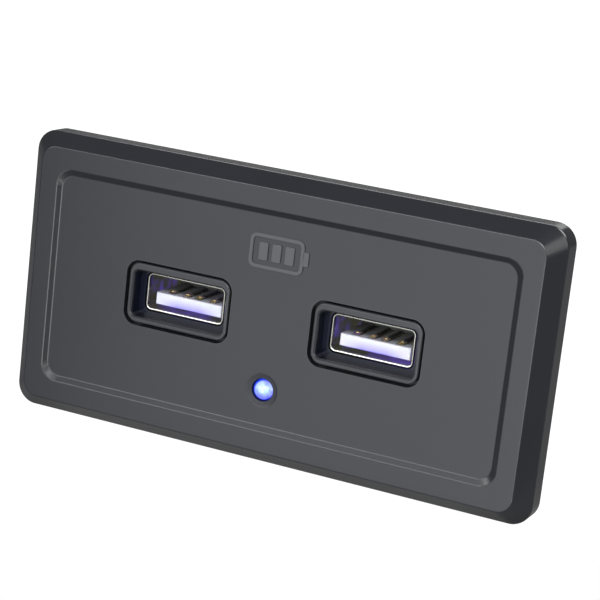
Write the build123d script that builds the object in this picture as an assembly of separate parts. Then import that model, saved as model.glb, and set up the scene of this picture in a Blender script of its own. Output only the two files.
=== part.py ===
from build123d import *
import math
import os

# Dual USB charging socket for a vehicle panel, in millimetres.
# X is to the right seen from the front, Y runs from the front to the back, Z is up.
# The origin is the centre of the panel seat: the faceplate's flange is in front of
# Y = 0, and the housing goes through the hole in the panel behind it.

# Faceplate outside
plate_width = 85.0
plate_height = 43.1
plate_corner_radius = 3.15
flange_depth = 3.3
flange_wall = 2.0
bevel_depth = 2.35
bevel_inset_sides = 2.3
bevel_inset_ends = 2.0
bevel_corner_radius = 2.4
band_width_sides = 2.9
band_width_ends = 3.1
band_corner_radius = 2.6
step_depth = 0.45
step_inset_sides = 0.8
step_inset_ends = 0.9
step_corner_radius = 2.1
rim_edge_radius = 0.4
band_edge_radius = 0.25
step_edge_radius = 0.4
panel_thickness = 2.0

# Windows and the collars in them
port_spacing_share = 0.36
window_margin_sides = 2.3
window_margin_ends = 2.125
window_radius = 2.1
collar_gap = 0.42
collar_setback = 0.15
collar_edge_radius = 0.25
collar_flange_lap_sides = 1.0
collar_flange_lap_ends = 2.2
collar_flange_radius = 1.5
mouth_margin_sides = 1.2
mouth_margin_ends = 0.73
mouth_drop = 0.17
mouth_radius = 0.8
mouth_depth = 2.4
mouth_edge_chamfer = 0.22
collar_floor_thickness = 1.1

# Stakes that hold each collar to the back of the panel
stake_radius = 0.6
stake_clearance = 0.05
stake_head_radius = 1.1
stake_head_height = 0.6
stake_offset_x = 6.0

# Socket shell, folded from thin steel
shell_width = 13.1
shell_height = 5.7
shell_corner_radius = 0.9
shell_wall = 0.3
shell_lip_radius = 0.12
shell_length = 13.8
shell_clearance = 0.2
spring_width = 1.7
spring_length = 5.2
spring_spacing = 6.0
spring_start = 4.0
spring_dip = 0.35
spring_slot = 0.3
leg_width = 1.6
leg_spacing = 3.0
leg_reach = 1.3

# White insulator: the tongue and the block behind it
tongue_side_gap = 1.0
tongue_thickness = 1.84
tongue_top = -0.24
tongue_setback = 1.25
tongue_length = 8.9
tongue_edge_radius = 0.2
block_clearance = 0.05
groove_depth = 0.45
groove_side_clearance = 0.15
groove_setback = 0.6

# Sprung contacts
contact_pitch_outer = 3.5
contact_pitch_inner = 1.0
contact_width = 1.0
contact_thickness = 0.2
contact_tip_setback = 0.8
contact_crest_setback = 1.65
contact_crest_height = 0.3
contact_crest_radius = 0.45
contact_dome_radius = 0.45
contact_dome_rise = 0.2
contact_heel_setback = 3.6
contact_heel_radius = 1.0
contact_fit = 0.05
pin_width = 0.6
pin_reach = 1.2
pin_hole_radius = 0.5

# Pilot lamp
led_from_edge = 11.25
led_radius = 1.65
led_height = 5.3
led_stand_out = 0.6
led_flange_radius = 2.1
led_flange_thickness = 1.0
led_flange_flat = 1.85
led_hole_clearance = 0.1
led_boss_wall = 1.2
dish_radius = 2.55
dish_depth = 0.2
lead_width = 0.5
lead_spacing = 2.54
lead_reach = 1.2
lead_hole_radius = 0.45
spacer_radius = 2.0

# Circuit board
board_thickness = 1.6
board_clearance = 0.3
finger_notch_depth = 1.0

# Rear housing
seat_overhang_sides = 9.0
seat_overhang_ends = 5.55
body_corner_radius = 3.0
housing_wall = 1.8
housing_rear_radius = 1.0
housing_front_gap = 0.2
room_behind_board = 10.0
locating_rib_clearance = 0.2
locating_rib_thickness = 1.0
locating_rib_height = 2.0

# Posts on the faceplate and screws
post_inset = 3.6
post_radius = 2.8
post_hole_radius = 1.15
post_hole_depth = 12.5
post_web_thickness = 1.0
post_web_height = 7.0
middle_post_rise = 6.7
middle_post_spacing = 9.1
middle_post_radius = 2.3
middle_hole_radius = 0.9
middle_hole_depth = 7.5
screw_core_clearance = 0.05
screw_hole_radius = 1.6
screw_length = 15.0
screw_head_radius = 2.6
screw_head_height = 1.8
screw_tube_wall = 1.0
screw_seat_thickness = 3.3
screw_head_clearance = 0.3
board_screw_length = 8.0
board_screw_head_radius = 1.9
board_screw_head_height = 1.4
board_screw_hole_radius = 1.2
driver_slot_width = 0.6
driver_slot_share = 1.3
driver_slot_depth = 0.8
screw_point_length = 1.5

# Ribs between the flange and the housing
rib_thickness = 1.0
rib_gap = 0.3
rib_seat_gap = 0.6
rib_count_long = 7
rib_count_short = 3
rib_pitch_long = 10.5
rib_pitch_short = 10.0

# Snap fingers on the short sides
finger_width = 10.0
finger_slot = 1.0
finger_tip = 1.0
finger_root = 15.0
finger_thickness = 1.3
tooth_width = 8.0
tooth_catch = 2.3
tooth_height = 1.5
tooth_catch_slope = 0.4
tooth_land = 0.6
tooth_ramp_end = 9.0

# Vents and guide ribs on the long sides
vent_count = 7
vent_pitch = 6.0
vent_width = 1.4
vent_length = 7.0
vent_front = 14.6
guide_rib_width = 1.4
guide_rib_height = 0.25
guide_rib_front = 0.5
guide_rib_length = 11.0
guide_rib_x = 24.0

# Blade terminals
blade_width = 6.3
blade_thickness = 0.8
blade_reach = 8.0
blade_tip_chamfer = 1.0
blade_hole_radius = 0.85
blade_hole_from_tip = 3.9
blade_spacing = 12.0
blade_from_edge = 6.9
blade_shoulder_width = 8.2
blade_shoulder_length = 2.2
blade_leg_width = 1.3
blade_leg_spacing = 5.0
blade_leg_reach = 0.9
blade_leg_clearance = 0.2
blade_slot_clearance = 0.3
blade_lip_wall = 1.0
blade_lip_height = 1.0

# Parts of the charger circuit: distance from the board's side or middle, and body size
inductor_from_side = 11.9
inductor_from_edge = 4.9
inductor_size = 8.0
inductor_height = 4.2
inductor_radius = 1.4
inductor_cap_radius = 3.2
inductor_cap_step = 0.5
inductor_pad_width = 3.0
inductor_pad_reach = 0.4
inductor_pad_height = 0.6
input_capacitor_from_side = 12.4
input_capacitor_from_edge = 5.1
input_capacitor_radius = 4.0
input_capacitor_height = 9.2
output_capacitor_from_side = 12.5
output_capacitor_from_edge = 5.1
output_capacitor_radius = 3.15
output_capacitor_height = 7.7
capacitor_base_height = 1.5
capacitor_base_margin = 0.15
capacitor_base_corner = 1.2
capacitor_neck = 0.3
capacitor_neck_height = 1.0
capacitor_top_radius = 0.5
converter_share = 0.24
converter_from_edge = 5.4
controller_from_edge = 4.4
chip_length = 4.9
chip_width = 3.9
chip_height = 1.5
chip_stand_off = 0.15
chip_edge_chamfer = 0.25
chip_lead_pitch = 1.27
chip_lead_width = 0.42
chip_lead_thickness = 0.2
chip_lead_reach = 1.0
chip_leads_each_side = 4
fuse_share = 0.24
fuse_from_edge = 4.9
fuse_length = 4.5
fuse_width = 3.2
fuse_height = 1.2
fuse_end_notch = 0.6
diode_length = 4.5
diode_width = 3.6
diode_height = 2.2
diode_tab_width = 2.0
diode_tab_reach = 0.4
diode_tab_height = 0.9

# Depths that follow from the sizes above
band_front = -(flange_depth + bevel_depth)
panel_front = band_front + step_depth
panel_back = panel_front + panel_thickness
collar_front = panel_front + collar_setback
collar_floor = collar_front + mouth_depth
collar_back = collar_floor + collar_floor_thickness
shell_front = collar_floor
board_front = shell_front + shell_length
board_back = board_front + board_thickness
tongue_front = shell_front + tongue_setback
block_front = tongue_front + tongue_length
led_tip = panel_front - led_stand_out
led_flange_back = led_tip + led_height
led_flange_front = led_flange_back - led_flange_thickness
housing_front = panel_back + housing_front_gap
housing_inner_back = board_back + room_behind_board
housing_back = housing_inner_back + housing_wall
blade_tip = housing_back + blade_reach
screw_seat = board_back + screw_seat_thickness

# Widths and heights that follow
band_outer_width = plate_width - 2 * bevel_inset_sides
band_outer_height = plate_height - 2 * bevel_inset_ends
band_inner_width = band_outer_width - 2 * band_width_sides
band_inner_height = band_outer_height - 2 * band_width_ends
panel_width = band_inner_width - 2 * step_inset_sides
panel_height = band_inner_height - 2 * step_inset_ends
body_width = plate_width - 2 * seat_overhang_sides
body_height = plate_height - 2 * seat_overhang_ends
inner_width = body_width - 2 * housing_wall
inner_height = body_height - 2 * housing_wall
inner_radius = body_corner_radius - housing_wall
rib_frame_width = inner_width - 2 * locating_rib_clearance
rib_frame_height = inner_height - 2 * locating_rib_clearance
board_width = inner_width - 2 * board_clearance
board_height = inner_height - 2 * board_clearance
window_width = shell_width + 2 * window_margin_sides
window_height = shell_height + 2 * window_margin_ends
mouth_width = shell_width + 2 * mouth_margin_sides
mouth_height = shell_height + 2 * mouth_margin_ends
collar_width = window_width - 2 * collar_gap
collar_height = window_height - 2 * collar_gap
collar_flange_width = window_width + 2 * collar_flange_lap_sides
collar_flange_height = window_height + 2 * collar_flange_lap_ends
stake_offset_z = (window_height + collar_flange_height) / 4
shell_inner_width = shell_width - 2 * shell_wall
shell_inner_height = shell_height - 2 * shell_wall
tongue_width = shell_width - 2 * tongue_side_gap
tongue_z = tongue_top - tongue_thickness / 2
groove_floor = tongue_top - groove_depth
contact_z = groove_floor + contact_thickness / 2
led_z = led_from_edge - plate_height / 2
led_hole_radius = led_radius + led_hole_clearance
post_x = inner_width / 2 - post_inset
post_z = inner_height / 2 - post_inset
screw_tube_radius = screw_head_radius + screw_head_clearance + screw_tube_wall

port_spacing = port_spacing_share * plate_width
left = -port_spacing / 2
right = port_spacing / 2
contact_offsets = {
    "power": contact_pitch_outer,
    "data_minus": contact_pitch_inner,
    "data_plus": -contact_pitch_inner,
    "ground": -contact_pitch_outer,
}
corner_places = [(sx * post_x, sz * post_z) for sx in (-1, 1) for sz in (-1, 1)]
middle_post_z = led_z + middle_post_rise
middle_places = [(0, middle_post_z), (0, middle_post_z + middle_post_spacing)]
board_side = board_width / 2
board_edge = board_height / 2
blade_z = board_edge - blade_from_edge
diode_z = middle_post_z + middle_post_spacing / 2
controller_z = board_edge - controller_from_edge


def face_plane(depth):
    """Plane across the depth axis, with X to the right and its own y upward."""
    return Plane(origin=(0, depth, 0), x_dir=(1, 0, 0), z_dir=(0, -1, 0))


def slab(outline, front, back):
    """Solid with the outline given in X and Z, between two depths."""
    return extrude(face_plane(back) * outline, amount=back - front)


def rounded(width, height, radius, x=0, z=0):
    return Pos(x, z) * RectangleRounded(width, height, radius)


def plain(width, height, x=0, z=0):
    return Pos(x, z) * Rectangle(width, height)


def disc(radius, x=0, z=0):
    return Pos(x, z) * Circle(radius)


def ring(outline, hole, front, back):
    return slab(outline, front, back) - slab(hole, front, back)


def edges_at(solid, depth):
    """Edges that lie in one plane across the depth axis."""
    return solid.edges().filter_by_position(Axis.Y, depth - 0.001, depth + 0.001)


def loop_at(solid, depth, width, height, x=0, z=0):
    """Edges at one depth whose middles lie inside a rectangle of the given size."""
    return [edge for edge in edges_at(solid, depth)
            if abs(edge.center().X - x) < width / 2 + 0.01
            and abs(edge.center().Z - z) < height / 2 + 0.01]


def turned(points, x=0, z=0):
    """Solid of revolution about a line along Y, from (radius, depth) points."""
    outline = make_face(Polyline(*points, close=True))
    return Pos(x, 0, z) * revolve(outline, axis=Axis.Y)


def side_profile(points, x_from, x_to):
    """Solid with a closed outline of (depth, height) points, between two X places."""
    plane = Plane(origin=(x_from, 0, 0), x_dir=(0, 1, 0), z_dir=(1, 0, 0))
    return extrude(plane * make_face(Polyline(*points, close=True)), amount=x_to - x_from)


def faceplate_outside():
    flange = slab(rounded(plate_width, plate_height, plate_corner_radius), -flange_depth, 0)
    bevel = loft([
        face_plane(-flange_depth) * rounded(plate_width, plate_height, plate_corner_radius),
        face_plane(band_front) * rounded(band_outer_width, band_outer_height, bevel_corner_radius),
    ], ruled=True)
    body = flange + bevel
    body = fillet(edges_at(body, -flange_depth), rim_edge_radius)
    body = fillet(edges_at(body, band_front), band_edge_radius)
    step = loft([
        face_plane(band_front) * rounded(band_inner_width, band_inner_height, band_corner_radius),
        face_plane(panel_front) * rounded(panel_width, panel_height, step_corner_radius),
    ], ruled=True)
    body -= step
    body = fillet(loop_at(body, band_front, band_inner_width, band_inner_height), step_edge_radius)
    return fillet(edges_at(body, panel_front), step_edge_radius)


def faceplate_posts():
    posts = []
    for x, z in corner_places:
        posts.append(slab(disc(post_radius, x, z), panel_back, board_front))
        web_back = panel_back + post_web_height
        to_side = math.copysign(rib_frame_width / 2, x)
        to_end = math.copysign(rib_frame_height / 2, z)
        posts.append(slab(plain(abs(to_side - x), post_web_thickness, (x + to_side) / 2, z),
                          panel_back, web_back))
        posts.append(slab(plain(post_web_thickness, abs(to_end - z), x, (z + to_end) / 2),
                          panel_back, web_back))
    for x, z in middle_places:
        posts.append(slab(disc(middle_post_radius, x, z), panel_back, board_front))
    posts.append(slab(disc(led_hole_radius + led_boss_wall, 0, led_z), panel_back, led_flange_front))
    return posts


def faceplate_stakes():
    stakes = []
    for port_x in (left, right):
        for side in (-1, 1):
            x = port_x + side * stake_offset_x
            z = -side * stake_offset_z
            stakes.append(slab(disc(stake_radius, x, z), panel_back, collar_back))
            stakes.append(slab(disc(stake_head_radius, x, z), collar_back,
                               collar_back + stake_head_height))
    return stakes


def flange_ribs():
    """Short ribs that stiffen the flange, clear of the housing and of the seat."""
    ribs = []
    rib_back = -rib_seat_gap
    wall_x = plate_width / 2 - flange_wall
    wall_z = plate_height / 2 - flange_wall
    end_x = body_width / 2 + rib_gap
    end_z = body_height / 2 + guide_rib_height + rib_gap
    for side in (-1, 1):
        for i in range(rib_count_long):
            x = (i - (rib_count_long - 1) / 2) * rib_pitch_long
            outline = plain(rib_thickness, wall_z - end_z, x, side * (wall_z + end_z) / 2)
            ribs.append(slab(outline, panel_back, rib_back))
        for i in range(rib_count_short):
            z = (i - (rib_count_short - 1) / 2) * rib_pitch_short
            outline = plain(wall_x - end_x, rib_thickness, side * (wall_x + end_x) / 2, z)
            ribs.append(slab(outline, panel_back, rib_back))
    return ribs


def faceplate():
    body = faceplate_outside()
    cavity_width = plate_width - 2 * flange_wall
    cavity_height = plate_height - 2 * flange_wall
    cavity_radius = plate_corner_radius - flange_wall
    body -= slab(rounded(cavity_width, cavity_height, cavity_radius), panel_back, 0)
    rib_inner_width = rib_frame_width - 2 * locating_rib_thickness
    rib_inner_height = rib_frame_height - 2 * locating_rib_thickness
    body += ring(rounded(rib_frame_width, rib_frame_height, inner_radius),
                 plain(rib_inner_width, rib_inner_height),
                 panel_back, panel_back + locating_rib_height)
    body += faceplate_posts() + faceplate_stakes() + flange_ribs()
    for x in (left, right):
        body -= slab(rounded(window_width, window_height, window_radius, x), band_front, panel_back)
    for x, z in corner_places:
        body -= slab(disc(post_hole_radius, x, z), board_front - post_hole_depth, board_front)
    for x, z in middle_places:
        body -= slab(disc(middle_hole_radius, x, z), board_front - middle_hole_depth, board_front)
    body -= slab(disc(led_hole_radius, 0, led_z), band_front, led_flange_front)
    body -= turned([(0, panel_front), (dish_radius, panel_front),
                    (led_hole_radius, panel_front + dish_depth), (0, panel_front + dish_depth)],
                   0, led_z)
    return body


def port_collar(x):
    body = slab(rounded(collar_width, collar_height, window_radius - collar_gap, x),
                collar_front, panel_back)
    body = fillet(edges_at(body, collar_front), collar_edge_radius)
    body += slab(rounded(collar_flange_width, collar_flange_height, collar_flange_radius, x),
                 panel_back, collar_back)
    mouth = rounded(mouth_width, mouth_height, mouth_radius, x, -mouth_drop)
    body -= slab(mouth, collar_front, collar_floor)
    mouth_edge = loop_at(body, collar_front, mouth_width, mouth_height, x, -mouth_drop)
    body = chamfer(mouth_edge, mouth_edge_chamfer)
    body -= slab(rounded(shell_width + 2 * shell_clearance, shell_height + 2 * shell_clearance,
                         shell_corner_radius + shell_clearance, x), collar_floor, collar_back)
    for side in (-1, 1):
        body -= slab(disc(stake_radius + stake_clearance, x + side * stake_offset_x,
                          -side * stake_offset_z), panel_back, collar_back)
    return body


def spring_finger(x, side):
    """Sprung strip in a shell wall: its root is at the front and it dips into the mouth."""
    start = shell_front + spring_start
    knee = start + spring_length * 0.7
    tip = start + spring_length
    outer = side * shell_height / 2
    inner = side * (shell_height / 2 - shell_wall)
    dip = side * spring_dip
    points = [(start - spring_slot, outer), (start, outer), (knee, outer - dip),
              (tip, outer - dip / 2), (tip, inner - dip / 2), (knee, inner - dip),
              (start, inner), (start - spring_slot, inner)]
    return side_profile(points, x - spring_width / 2, x + spring_width / 2)


def usb_shell(x):
    outer = rounded(shell_width, shell_height, shell_corner_radius, x)
    inner = rounded(shell_inner_width, shell_inner_height, shell_corner_radius - shell_wall, x)
    body = ring(outer, inner, shell_front, board_front)
    body = fillet(edges_at(body, shell_front), shell_lip_radius)
    window_front = shell_front + spring_start
    window_back = window_front + spring_length + spring_slot
    for side in (-1, 1):
        spring_x = x + side * spring_spacing / 2
        window = plain(spring_width + 2 * spring_slot, shell_height, spring_x)
        body -= slab(window, window_front, window_back)
        body += [spring_finger(spring_x, wall) for wall in (-1, 1)]
        leg_x = x + side * (shell_width - shell_wall) / 2
        for end in (-1, 1):
            outline = plain(shell_wall, leg_width, leg_x, end * leg_spacing / 2)
            body += slab(outline, board_front, board_back + leg_reach)
    return body


def usb_insulator(x):
    tongue = slab(plain(tongue_width, tongue_thickness, x, tongue_z), tongue_front, block_front)
    tongue = fillet(edges_at(tongue, tongue_front), tongue_edge_radius)
    block_width = shell_inner_width - 2 * block_clearance
    block_height = shell_inner_height - 2 * block_clearance
    block_radius = shell_corner_radius - shell_wall
    body = tongue + slab(rounded(block_width, block_height, block_radius, x), block_front, board_front)
    channel_height = contact_thickness + contact_fit
    for offset in contact_offsets.values():
        groove = plain(contact_width + 2 * groove_side_clearance, groove_depth,
                       x + offset, tongue_top - groove_depth / 2)
        body -= slab(groove, tongue_front + groove_setback, block_front)
        channel = plain(contact_width + 2 * contact_fit, channel_height,
                        x + offset, groove_floor + channel_height / 2)
        body -= slab(channel, block_front, board_front)
    return body


def usb_contact(x):
    """Bent strip with a domed contact point on its sprung crest, and a pin through the board."""
    crest_z = tongue_top + contact_crest_height
    path = FilletPolyline(
        (x, tongue_front + contact_tip_setback, contact_z),
        (x, tongue_front + contact_crest_setback, crest_z),
        (x, tongue_front + contact_heel_setback, contact_z),
        (x, board_front, contact_z),
        radius=[contact_crest_radius, contact_heel_radius],
    )
    start = Plane(origin=path @ 0, x_dir=(1, 0, 0), z_dir=path % 0)
    strip = sweep(start * Rectangle(contact_width, contact_thickness), path=path)
    pin = slab(plain(pin_width, contact_thickness, x, contact_z), board_front, board_back + pin_reach)
    dome_y = tongue_front + contact_crest_setback + contact_thickness / 2
    dome_z = crest_z + contact_dome_rise - contact_dome_radius
    dome = Pos(x, dome_y, dome_z) * Sphere(contact_dome_radius)
    below = Pos(x, dome_y, crest_z - contact_dome_radius) * Box(
        contact_width, contact_width, 2 * contact_dome_radius)
    return strip + pin + (dome - below)


def led_lens():
    dome_centre = led_tip + led_radius
    with BuildSketch() as profile:
        with BuildLine():
            Polyline((0, led_flange_back), (led_flange_radius, led_flange_back),
                     (led_flange_radius, led_flange_front), (led_radius, led_flange_front),
                     (led_radius, dome_centre))
            RadiusArc((led_radius, dome_centre), (0, led_tip), led_radius)
            Line((0, led_tip), (0, led_flange_back))
        make_face()
    body = revolve(profile.sketch, axis=Axis.Y)
    body = Pos(0, 0, led_z) * body
    beyond_flat = led_flange_radius - led_flange_flat
    flat = plain(beyond_flat, 2 * led_flange_radius, led_flange_flat + beyond_flat / 2, led_z)
    return body - slab(flat, led_flange_front, led_flange_back)


def led_spacer():
    body = slab(disc(spacer_radius, 0, led_z), led_flange_back, board_front)
    for side in (-1, 1):
        hole = disc(lead_hole_radius, side * lead_spacing / 2, led_z)
        body -= slab(hole, led_flange_back, board_front)
    return body


def led_lead(side):
    outline = plain(lead_width, lead_width, side * lead_spacing / 2, led_z)
    return slab(outline, led_flange_back, board_back + lead_reach)


def circuit_board():
    body = slab(rounded(board_width, board_height, inner_radius), board_front, board_back)
    holes = [disc(screw_hole_radius, x, z) for x, z in corner_places]
    holes += [disc(board_screw_hole_radius, x, z) for x, z in middle_places]
    for side in (-1, 1):
        holes.append(disc(lead_hole_radius, side * lead_spacing / 2, led_z))
        notch_x = side * (board_width / 2 - finger_notch_depth / 2)
        holes.append(plain(finger_notch_depth, finger_width + 2 * finger_slot, notch_x))
        for end in (-1, 1):
            leg_z = blade_z + end * blade_leg_spacing / 2
            holes.append(plain(blade_thickness + 2 * blade_leg_clearance,
                               blade_leg_width + 2 * blade_leg_clearance,
                               side * blade_spacing / 2, leg_z))
    for port_x in (left, right):
        holes += [disc(pin_hole_radius, port_x + offset, contact_z)
                  for offset in contact_offsets.values()]
        for side in (-1, 1):
            leg_x = port_x + side * (shell_width - shell_wall) / 2
            for end in (-1, 1):
                holes.append(plain(shell_wall + 2 * shell_clearance, leg_width + 2 * shell_clearance,
                                   leg_x, end * leg_spacing / 2))
    for hole in holes:
        body -= slab(hole, board_front, board_back)
    return body


def snap_tooth(side):
    wall = body_width / 2
    points = [(wall - finger_thickness / 2, tooth_catch), (wall, tooth_catch),
              (wall + tooth_height, tooth_catch + tooth_catch_slope),
              (wall + tooth_height, tooth_catch + tooth_catch_slope + tooth_land),
              (wall, tooth_ramp_end), (wall - finger_thickness / 2, tooth_ramp_end)]
    outline = make_face(Polyline(*[(side * x, y) for x, y in points], close=True))
    return extrude(Plane.XY.offset(-tooth_width / 2) * outline, amount=tooth_width)


def snap_finger_cuts(side):
    """U-shaped slot round a finger, and the relief that thins it from inside."""
    outer = body_width / 2
    through = plain(2 * housing_wall, finger_slot, side * outer)
    cuts = []
    for edge in (-1, 1):
        slot_z = edge * (finger_width + finger_slot) / 2
        cuts.append(slab(Pos(0, slot_z) * through, finger_tip - finger_slot, finger_root))
    front = plain(2 * housing_wall, finger_width + 2 * finger_slot, side * outer)
    cuts.append(slab(front, finger_tip - finger_slot, finger_tip))
    relief = housing_wall - finger_thickness
    relief_x = side * (outer - housing_wall + relief / 2)
    cuts.append(slab(plain(relief, finger_width, relief_x), finger_tip, finger_root))
    return cuts


def housing_vents():
    vents = []
    for i in range(vent_count):
        x = (i - (vent_count - 1) / 2) * vent_pitch
        plane = Plane(origin=(x, vent_front + vent_length / 2, 0), x_dir=(0, 1, 0), z_dir=(0, 0, 1))
        slot = plane * SlotOverall(vent_length, vent_width)
        vents.append(extrude(slot, amount=body_height / 2, both=True))
    return vents


def guide_ribs():
    ribs = []
    for side in (-1, 1):
        for end in (-1, 1):
            wall = end * body_height / 2
            crest = wall + end * guide_rib_height
            sunk = wall - end * housing_wall / 2
            points = [(guide_rib_front, sunk), (guide_rib_front, crest),
                      (guide_rib_front + guide_rib_length / 2, crest),
                      (guide_rib_front + guide_rib_length, wall),
                      (guide_rib_front + guide_rib_length, sunk)]
            x = side * guide_rib_x
            ribs.append(side_profile(points, x - guide_rib_width / 2, x + guide_rib_width / 2))
    return ribs


def rear_housing():
    body = slab(rounded(body_width, body_height, body_corner_radius), housing_front, housing_back)
    body = fillet(edges_at(body, housing_back), housing_rear_radius)
    body -= slab(rounded(inner_width, inner_height, inner_radius), housing_front, housing_inner_back)
    tubes = [slab(disc(screw_tube_radius, x, z), board_back, housing_inner_back)
             for x, z in corner_places]
    outside = slab(rounded(body_width, body_height, body_corner_radius), housing_front, housing_back)
    body += [tube & outside for tube in tubes]
    for x, z in corner_places:
        head_bore = disc(screw_head_radius + screw_head_clearance, x, z)
        body -= slab(head_bore, screw_seat, housing_back)
        body -= slab(disc(screw_hole_radius, x, z), board_back, screw_seat)
    for vent in housing_vents():
        body -= vent
    for side in (-1, 1):
        for cut in snap_finger_cuts(side):
            body -= cut
        body += snap_tooth(side)
    body += guide_ribs()
    slot_width = blade_thickness + 2 * blade_slot_clearance
    slot_height = blade_width + 2 * blade_slot_clearance
    for side in (-1, 1):
        x = side * blade_spacing / 2
        lip = plain(slot_width + 2 * blade_lip_wall, slot_height + 2 * blade_lip_wall, x, blade_z)
        body += slab(lip, housing_back, housing_back + blade_lip_height)
        body -= slab(plain(slot_width, slot_height, x, blade_z),
                     housing_inner_back, housing_back + blade_lip_height)
    return body


def blade_terminal(side):
    """Flat stamped blade with two legs through the board."""
    half = blade_width / 2
    shoulder = blade_shoulder_width / 2
    leg_inner = (blade_leg_spacing - blade_leg_width) / 2
    leg_outer = (blade_leg_spacing + blade_leg_width) / 2
    leg_tip = board_front - blade_leg_reach
    upper = [(leg_tip, leg_inner), (leg_tip, leg_outer), (board_back, leg_outer),
             (board_back, shoulder), (board_back + blade_shoulder_length, shoulder),
             (board_back + blade_shoulder_length, half), (blade_tip - blade_tip_chamfer, half),
             (blade_tip, half - blade_tip_chamfer)]
    lower = [(depth, -height) for depth, height in reversed(upper)]
    outline = [(board_back, leg_inner)] + upper + lower + [(board_back, -leg_inner)]
    outline = [(depth, height + blade_z) for depth, height in outline]
    x = side * blade_spacing / 2
    body = side_profile(outline, x - blade_thickness / 2, x + blade_thickness / 2)
    hole_plane = Plane(origin=(x - blade_thickness, blade_tip - blade_hole_from_tip, blade_z),
                       x_dir=(0, 1, 0), z_dir=(1, 0, 0))
    return body - extrude(hole_plane * Circle(blade_hole_radius), amount=2 * blade_thickness)


def screw(x, z, seat, length, core_radius, head_radius, head_height):
    """Self-tapping screw driven towards the front, with a cross recess in a domed head."""
    point = seat - length
    body = turned([(0, seat + head_height), (head_radius * 0.7, seat + head_height),
                   (head_radius, seat + head_height * 0.45), (head_radius, seat),
                   (core_radius, seat), (core_radius, point + screw_point_length), (0, point)], x, z)
    slot_length = head_radius * driver_slot_share
    recess_front = seat + head_height - driver_slot_depth
    for width, height in ((slot_length, driver_slot_width), (driver_slot_width, slot_length)):
        body -= slab(plain(width, height, x, z), recess_front, seat + head_height)
    return body


def housing_screws():
    core = post_hole_radius - screw_core_clearance
    return [screw(x, z, screw_seat, screw_length, core, screw_head_radius, screw_head_height)
            for x, z in corner_places]


def board_screws():
    core = middle_hole_radius - screw_core_clearance
    return [screw(x, z, board_back, board_screw_length, core, board_screw_head_radius,
                  board_screw_head_height) for x, z in middle_places]


def power_inductor():
    x, z = inductor_from_side - board_side, board_edge - inductor_from_edge
    top = board_back + inductor_height
    body = slab(rounded(inductor_size, inductor_size, inductor_radius, x, z), board_back, top)
    body += slab(disc(inductor_cap_radius, x, z), top, top + inductor_cap_step)
    pads = plain(inductor_size + 2 * inductor_pad_reach, inductor_pad_width, x, z)
    return body + slab(pads, board_back, board_back + inductor_pad_height)


def capacitor(x, z, radius, height):
    """Surface-mounted electrolytic can on its moulded base."""
    base_size = 2 * (radius + capacitor_base_margin)
    base = slab(plain(base_size, base_size, x, z), board_back, board_back + capacitor_base_height)
    front_corners = base.edges().filter_by(Axis.Y).sort_by(Axis.X)[:2]
    base = chamfer(front_corners, capacitor_base_corner)
    top = board_back + height
    can_foot = board_back + capacitor_base_height
    can = turned([(0, can_foot), (radius, can_foot), (radius, can_foot + capacitor_neck_height),
                  (radius - capacitor_neck, can_foot + capacitor_neck_height + capacitor_neck),
                  (radius, can_foot + capacitor_neck_height + 2 * capacitor_neck),
                  (radius, top - capacitor_top_radius), (radius - capacitor_top_radius, top),
                  (0, top)], x, z)
    return base + can


def chip(x, z, seat, outward):
    """Eight-leaded chip on either face of the board; outward is +1 behind it, -1 in front."""
    def layer(outline, low, high):
        depths = sorted((seat + outward * low, seat + outward * high))
        return slab(outline, *depths)

    body = layer(plain(chip_length, chip_width, x, z), chip_stand_off, chip_stand_off + chip_height)
    top = seat + outward * (chip_stand_off + chip_height)
    body = chamfer(edges_at(body, top), chip_edge_chamfer)
    mid = chip_stand_off + chip_height / 2
    for i in range(chip_leads_each_side):
        lead_x = x + (i - (chip_leads_each_side - 1) / 2) * chip_lead_pitch
        for side in (-1, 1):
            edge = chip_width / 2
            shoulder = plain(chip_lead_width, chip_lead_reach / 2, lead_x,
                             z + side * (edge + chip_lead_reach / 4))
            drop = plain(chip_lead_width, chip_lead_thickness, lead_x,
                         z + side * (edge + (chip_lead_reach - chip_lead_thickness) / 2))
            foot = plain(chip_lead_width, chip_lead_reach / 2, lead_x,
                         z + side * (edge + 0.75 * chip_lead_reach))
            body += layer(shoulder, mid - chip_lead_thickness / 2, mid + chip_lead_thickness / 2)
            body += layer(drop, 0, mid + chip_lead_thickness / 2)
            body += layer(foot, 0, chip_lead_thickness)
    return body


def input_fuse():
    x, z = fuse_share * board_side, fuse_from_edge - board_edge
    body = slab(plain(fuse_length, fuse_width, x, z), board_back, board_back + fuse_height)
    for side in (-1, 1):
        notch = disc(fuse_end_notch, x + side * fuse_length / 2, z)
        body -= slab(notch, board_back, board_back + fuse_height)
    return body


def input_diode():
    body = slab(plain(diode_length, diode_width, 0, diode_z), board_back,
                board_back + diode_height)
    body = chamfer(edges_at(body, board_back + diode_height), chip_edge_chamfer)
    tabs = plain(diode_length + 2 * diode_tab_reach, diode_tab_width, 0, diode_z)
    return body + slab(tabs, board_back, board_back + diode_tab_height)


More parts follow.
